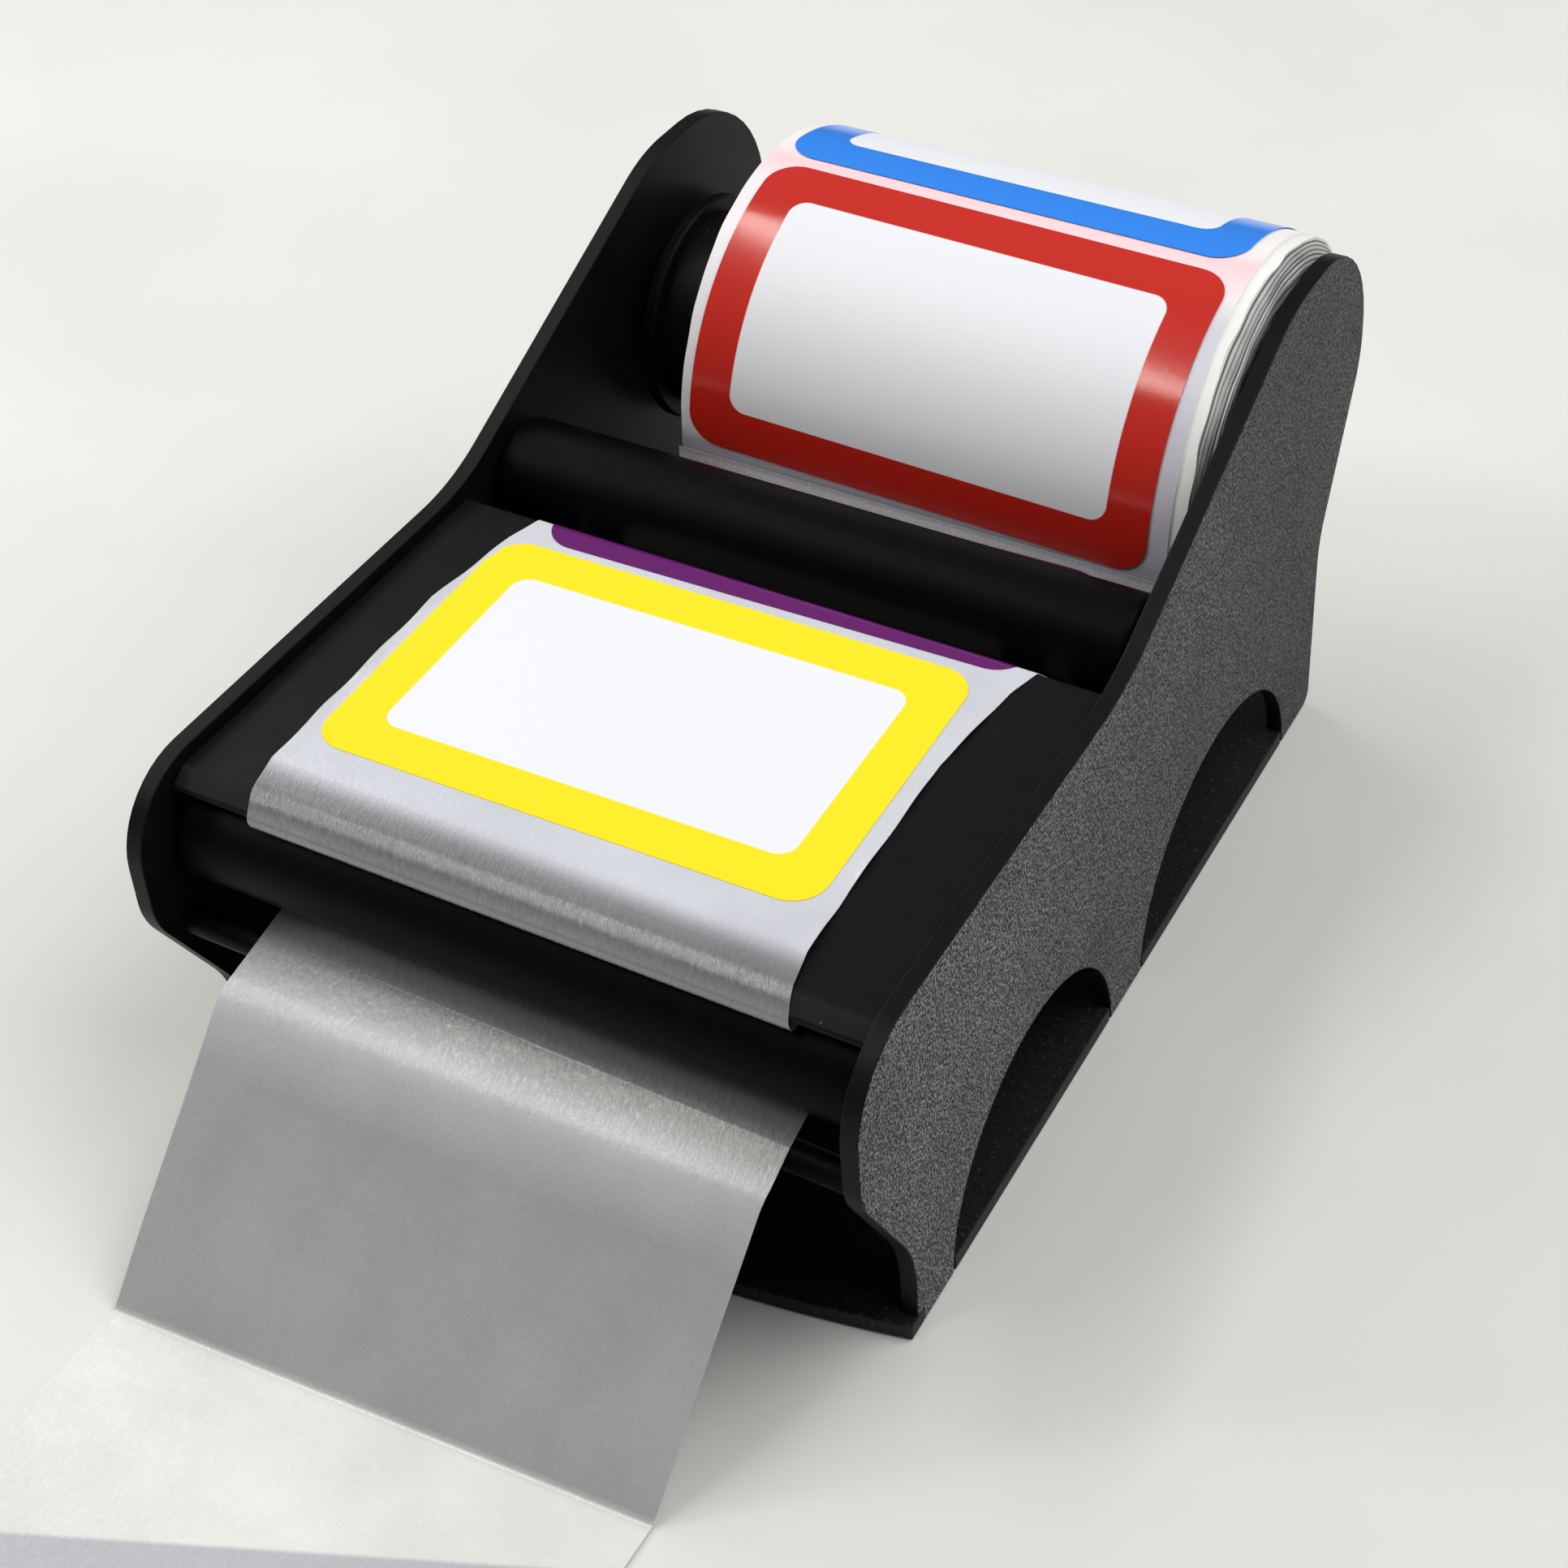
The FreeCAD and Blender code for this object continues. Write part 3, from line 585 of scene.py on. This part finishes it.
def sheet(name, points, body, material, nodes, flat_mm, thickness):
    """Sheet from a grid of points: two copies of the grid, half the thickness to either side
    along its normal (the cross product of its two tangents), and a rim that joins them. Its
    UV map is its flat size in millimetres."""
    rows, cols = points.shape[:2]
    normal = np.cross(np.gradient(points, axis=0), np.gradient(points, axis=1))
    normal *= thickness / 2 / np.linalg.norm(normal, axis=-1, keepdims=True)
    both = np.concatenate([(points + normal).reshape(-1, 3), (points - normal).reshape(-1, 3)])
    number = np.arange(rows * cols).reshape(rows, cols)
    near, far = number[:-1, :-1], number[1:, 1:]
    face = np.stack([near, number[1:, :-1], far, number[:-1, 1:]], -1).reshape(-1, 4)
    rim = np.concatenate([number[0, :-1], number[:-1, -1], number[-1, :0:-1], number[:0:-1, 0]])
    ahead = np.roll(rim, -1)
    under = rows * cols
    edge = np.stack([rim, ahead, ahead + under, rim + under], 1)
    quads = np.concatenate([face, face[:, ::-1] + under, edge])
    made = make_object(name, place(both), quads, body, material, nodes, 50.0)
    corners = flat_mm.reshape(-1, 2)[quads.ravel() % under]
    made.data.uv_layers.new(name="flat_mm").data.foreach_set("uv", corners.ravel().astype(np.float32))
    return made


def walked(path):
    """Length along a path up to each of its points."""
    return np.concatenate([[0], np.cumsum(np.hypot(*np.diff(path, axis=0).T))])


def liner_stations(bar_r, bend_y, bend_z, fold_y):
    """Stations of one edge of the strip: bar_r is its distance from the guide bar's middle,
    bend_y and bend_z place the centre of its soft bend, and fold_y is where it meets the
    table. In order they are: its start at the roll, the loop and the rear roller; the rear
    edge of the platen, a slight rise and three arcs round its nose; the front roller and
    the guide bar; the bend, the fold and the end of the laid part."""
    return [
        (111.95, 62.62, 0), (102.0, 56.75, -10.2), (REAR_Y, REAR_Z, -9.65),
        (75.5, 67.2, 1.15), (17.0, 98.35, -30.0), (6.5, 57.05, 12.0), (1.4, 63.2, 5.5), (-2.5, 64.9, 1.6),
        (FRONT_Y, FRONT_Z, -9.3), (BAR_Y, BAR_Z, bar_r),
        (bend_y, bend_z, 9.0), (fold_y, LAID_Z + 1.0, -1.0), (fold_y - LAID_LENGTH, LAID_Z, 0),
    ]


left_edge = strip_path(liner_stations(3.56, -12.3, 33.0, -50.5))
right_edge = strip_path(liner_stations(2.62, -8.7, 31.6, -45.4))
middle = (left_edge + right_edge) / 2
walk = walked(middle)
LINER_FLAT = walk[-1]

# Lengths at which the strip passes three places: y = 70 near the rear of the platen, the
# soft bend and the fold on the table.
platen_run = (middle[:, 1] > PLATEN_TOP + 0.1) & (middle[:, 0] > 17) & (middle[:, 0] < 76)
rear_at = np.interp(-70, -middle[platen_run, 0], walk[platen_run])
tail_run = walk > LINER_FLAT - 125
bend_at, fold_at = np.interp((13.2, 48.0), -middle[tail_run, 0], walk[tail_run])

# It drifts sideways on its way, and its columns are closer together towards its edges.
across = 0.5 * np.sin(np.linspace(-math.pi / 2, math.pi / 2, 61))[None, :]
drift = np.interp(
    walk,
    [0, rear_at - 32, rear_at - 7, rear_at, rear_at + 20, rear_at + 50, rear_at + 64, rear_at + 70,
     rear_at + 76, bend_at, fold_at, LINER_FLAT],
    [7.4, 5.6, 2.0, 0.0, -2.3, -1.8, -1.0, 0.1, 1.6, 1.7, -1.7, -3.0])
x = drift[:, None] + across * LINER_WIDTH
y, z = (left_edge[:, i, None] * (0.5 - across) + right_edge[:, i, None] * (0.5 + across)
        for i in (0, 1))

# The cut edges cockle on the platen, up to 0.4 mm high and 16 mm long, and the free tail is
# faintly buckled, by 0.35 mm.
MARGIN = 0.024    # share of the width, on either side, that cockles
margin = np.clip((np.abs(across) - (0.5 - MARGIN)) / MARGIN, 0, 1) ** 1.5
on_top = np.interp(walk, [rear_at - 2, rear_at + 6, rear_at + 58, rear_at + 66], [0, 1, 1, 0])[:, None]
z = z + on_top * margin * (0.22 + 0.2 * np.sin(walk[:, None] / 2.6 + 9 * across))
free = np.interp(walk, [bend_at + 4, bend_at + 20, fold_at - 14, fold_at - 2], [0, 1, 1, 0])[:, None]
y = y + free * 0.35 * np.sin(walk[:, None] / 11 + 14 * across) * np.cos(19 * across)
strip = np.stack([x, y, z], -1)
uv = np.stack([across * LINER_WIDTH + 0 * walk[:, None], walk[:, None] + 0 * across], -1)

# Glassine is thin and translucent, and its colour is painted by length along the strip. It is silver-blue
# on the platen, with painted shade where it turns down round the platen's nose and painted light from the
# table at the nose's lower edge. Where it hangs free it carries painted shade under the machine, a painted
# highlight along its soft bend and, below, a deeper grey as painted shade of the dark machine behind it.
# Where it lies it is nearly as pale as the table, as painted light from the table beneath it, with a
# painted white highlight along the fold, up to a slanting line past which painted shade makes it grey
# again. Where it leaves the roll it is painted grey and then white, as shade and light on a crease at a
# perforation. Fine dashes in the calendered surface, 0.7 mm wide and 1.8 mm long, sparkle along every bend,
# and clouds of 20 mm dull it.
mat, tree, shader = new_material("silver glassine")
where = add(tree, "ShaderNodeTexCoord").outputs["Object"]
flat = add(tree, "ShaderNodeUVMap", uv_map="flat_mm").outputs[0]
length_mm = add(tree, "ShaderNodeSeparateXYZ", {"Vector": flat}).outputs["Y"]
share = add(tree, "ShaderNodeMath", {0: length_mm, 1: 1 / LINER_FLAT}, operation="MULTIPLY").outputs[0]
# Painted light and shade along the strip's length: grey then white at the crease by the roll, shade on the
# platen's nose, shade and a highlight on the hanging tail, a white highlight at the fold, and light from
# the table on the laid part.
tone = add(tree, "ShaderNodeValToRGB", {"Fac": share}, [(mm / LINER_FLAT, linear(code)) for mm, code in (
    (0.2, "#c3c2ca"), (0.8, "#f3f3f5"), (2.4, "#f3f3f5"), (3.2, "#d0d3db"),
    (rear_at + 63.5, "#d0d3db"), (rear_at + 67, "#818285"), (rear_at + 72, "#5e5f62"),
    (rear_at + 76, "#8e8f92"),
    (bend_at - 22, "#7d7e80"), (bend_at - 9, "#7d7e80"), (bend_at - 4, "#959698"), (bend_at, "#c0c2c5"),
    (bend_at + 4, "#c3c5c9"), (bend_at + 14, "#a9abaf"),
    (fold_at - 12, "#b0b1b3"), (fold_at - 0.8, "#aeafb0"), (fold_at - 0.3, "#f2f2ef"),
    (fold_at + 0.6, "#e7e7e3"))])
cloud = add(tree, "ShaderNodeTexNoise", {"Vector": where, "Scale": 45.0, "Detail": 6.0, "Roughness": 0.6})
shade = add(tree, "ShaderNodeMapRange", {
    "Value": cloud.outputs["Fac"], "From Min": 0.3, "From Max": 0.7, "To Min": 0.91, "To Max": 1.04})
colour = add(tree, "ShaderNodeVectorMath", {
    0: tone.outputs["Color"], "Scale": shade.outputs[0]}, operation="SCALE")
# Painted shade on the laid part past a slanting line.
SLANT = 0.364         # mm along the strip for each mm across it
GREY_FROM = 24.5      # mm past the fold, at the middle of the strip
slant = add(tree, "ShaderNodeVectorMath", {0: flat, 1: (SLANT, 1.0, 0.0)}, operation="DOT_PRODUCT")
grey_at = fold_at + GREY_FROM
far = add(tree, "ShaderNodeMapRange", {
    "Value": slant.outputs["Value"], "From Min": grey_at, "From Max": grey_at + 0.8})
painted_far_shade = add(tree, "ShaderNodeMix", {
    0: far.outputs[0], 6: colour.outputs[0], 7: linear("#b9b9c0")}, data_type="RGBA")
tree.links.new(painted_far_shade.outputs[2], shader.inputs["Base Color"])
stretch = add(tree, "ShaderNodeMapping", {"Vector": flat, "Scale": (1.5, 0.55, 1.0)})
dashes = add(tree, "ShaderNodeTexNoise", {
    "Vector": stretch.outputs[0], "Scale": 1.0, "Detail": 4.0, "Roughness": 0.65})
gloss = add(tree, "ShaderNodeMapRange", {
    "Value": dashes.outputs["Fac"], "From Min": 0.3, "From Max": 0.7, "To Min": 0.12, "To Max": 0.38})
tree.links.new(gloss.outputs[0], shader.inputs["Roughness"])
shader.inputs["Specular IOR Level"].default_value = 1.0
stiff = add(tree, "ShaderNodeMapRange", {
    "Value": length_mm, "From Min": fold_at - 1, "From Max": fold_at + 1, "To Min": 0.9, "To Max": 0.15})
relief = add(tree, "ShaderNodeBump", {
    "Strength": stiff.outputs[0], "Distance": 0.0001, "Height": dashes.outputs["Fac"]})
tree.links.new(relief.outputs[0], shader.inputs["Normal"])
liner_nodes = ["liner_feed_loop", "liner_on_platen", "liner_front_wrap", "liner_tail", "liner_tail_laid"]
liner = sheet("liner_strip", strip, "stand", mat, liner_nodes, uv, LINER_THICK)

# ---------------------------------------------------------------- labels
# Glossy film labels, 88.9 by 57.15 mm with 6 mm corners: a coloured frame, 8 mm wide, is
# printed round a white field.

LABEL_W, LABEL_L, LABEL_R = 88.9, 57.15, 6.0
LABEL_THICK = 0.09
OVER_LINER = 0.11    # from the liner's middle to a label's middle
OVER_ROLL = 0.2      # from the roll's surface to a label's middle
FIELD_W, FIELD_L, FIELD_R = 73.0, 40.8, 3.2


def label_grid(flat_rows=47, bend_rows=13, cols=41):
    """Rounded rectangle: a row at distance d from its nearer end is as wide as the shape is
    there, W - 2 (r - sqrt(r^2 - (r - d)^2)) where d is under the corner radius r."""
    ends = LABEL_R * (1 - np.cos(np.linspace(0, math.pi / 2, bend_rows)))
    flat = np.linspace(LABEL_R, LABEL_L - LABEL_R, flat_rows)[1:-1]
    b = np.concatenate([ends, flat, LABEL_L - ends[::-1]])
    d = np.minimum(np.minimum(b, LABEL_L - b), LABEL_R)
    half = LABEL_W / 2 - LABEL_R + np.sqrt(np.maximum(LABEL_R ** 2 - (LABEL_R - d) ** 2, 0))
    u = np.linspace(-1, 1, cols)[None, :]
    return u * half[:, None], (b - LABEL_L / 2)[:, None] + 0 * u


def printed_label(name, code):
    """Coated film: a matte white field of 73 by 41 mm to write on, and outside it the glossy
    ink of the frame, whose orange peel of 1 mm breaks up its shine. The frame's inner edge
    is where a point is the field's corner radius away from the smaller field inside it."""
    mat, tree, shader = new_material(name)
    flat = add(tree, "ShaderNodeUVMap", uv_map="flat_mm").outputs[0]
    size = add(tree, "ShaderNodeVectorMath", {0: flat}, operation="ABSOLUTE").outputs[0]
    inner = (FIELD_W / 2 - FIELD_R, FIELD_L / 2 - FIELD_R, 9)
    over = add(tree, "ShaderNodeVectorMath", {0: size, 1: inner}, operation="SUBTRACT")
    over = add(tree, "ShaderNodeVectorMath", {0: over.outputs[0], 1: (0, 0, 0)}, operation="MAXIMUM")
    out = add(tree, "ShaderNodeVectorMath", {0: over.outputs[0]}, operation="LENGTH").outputs["Value"]
    mask = add(tree, "ShaderNodeMapRange", {
        "Value": out, "From Min": FIELD_R - 0.1, "From Max": FIELD_R + 0.1}).outputs[0]
    colour = add(tree, "ShaderNodeMix", {
        0: mask, 6: linear("#eceef4"), 7: linear(code)}, data_type="RGBA")
    tree.links.new(colour.outputs[2], shader.inputs["Base Color"])
    where = add(tree, "ShaderNodeTexCoord").outputs["Object"]
    peel = add(tree, "ShaderNodeTexNoise", {"Vector": where, "Scale": 900.0, "Detail": 3.0})
    depth = add(tree, "ShaderNodeMapRange", {"Value": mask, "To Min": 0.02, "To Max": 0.22})
    relief = add(tree, "ShaderNodeBump", {
        "Strength": depth.outputs[0], "Distance": 0.00006, "Height": peel.outputs["Fac"]})
    tree.links.new(relief.outputs[0], shader.inputs["Normal"])
    gloss = add(tree, "ShaderNodeMapRange", {"Value": mask, "To Min": 0.45, "To Max": 0.17})
    tree.links.new(gloss.outputs[0], shader.inputs["Roughness"])
    return mat


inks = {ink: printed_label(ink + " label print", code) for ink, code in (
    ("yellow", "#fbe61e"), ("purple", "#621566"), ("red", "#c5271c"), ("blue", "#2e86ee"))}


def lay_label(name, ink, node, centre_s, centre_x, turn, path, lift, body):
    """A label on a path, raised from it by lift: its length runs along the path, turned in
    its own plane. The path's heading at length s is that of its chord from s - 0.2 to
    s + 0.2."""
    a, b = label_grid()
    t = math.radians(turn)
    s = centre_s + b * math.cos(t) - a * math.sin(t)
    length = walked(path)
    y, z = (np.interp(s, length, path[:, i]) for i in (0, 1))
    dy, dz = (np.interp(s + 0.2, length, path[:, i]) - np.interp(s - 0.2, length, path[:, i])
              for i in (0, 1))
    norm = np.hypot(dy, dz)
    points = np.stack([
        centre_x + a * math.cos(t) + b * math.sin(t), y + lift * dz / norm, z - lift * dy / norm], -1)
    made = sheet(name, points, body, inks[ink], [node], np.stack([a, b], -1), LABEL_THICK)


for name, ink, node, at, x, turn in (
    ("yellow_label", "yellow", "label_yellow", rear_at + 28.3, -2.6, 1.0),
    ("purple_label", "purple", "label_purple", rear_at - 2.35 - LABEL_L / 2, 1.2, 1.5),
):
    lay_label(name, ink, node, at, x, turn, middle, OVER_LINER, "stand")

# The roll's circle, led as the strip is: forwards over the top and down the front. Its arcs
# count upwards from the roll's foremost point, and its labels lie one pitch apart.
LABEL_PITCH = 60.35
FIRST_ARC = 27.7      # middle of the red label
ON_ROLL_X = 7.8
ARC_FROM, ARC_TO = 300, -30
arc = np.linspace(ARC_TO, ARC_FROM, 700)[::-1]
circle = np.stack([SPOOL_Y - ROLL_R * np.cos(arc / ROLL_R), SPOOL_Z + ROLL_R * np.sin(arc / ROLL_R)], 1)
for number, (name, ink, node, turn) in enumerate((
    ("red_label", "red", "label_red", -1.3),
    ("blue_label", "blue", "label_blue", -0.9),
    ("rear_upper_label", "yellow", "label_rear_upper", -0.9),
    ("rear_lower_label", "purple", "label_rear_lower", -0.9),
)):
    at = ARC_FROM - (FIRST_ARC + LABEL_PITCH * number)
    lay_label(name, ink, node, at, ON_ROLL_X, turn, circle, OVER_ROLL, "spool")
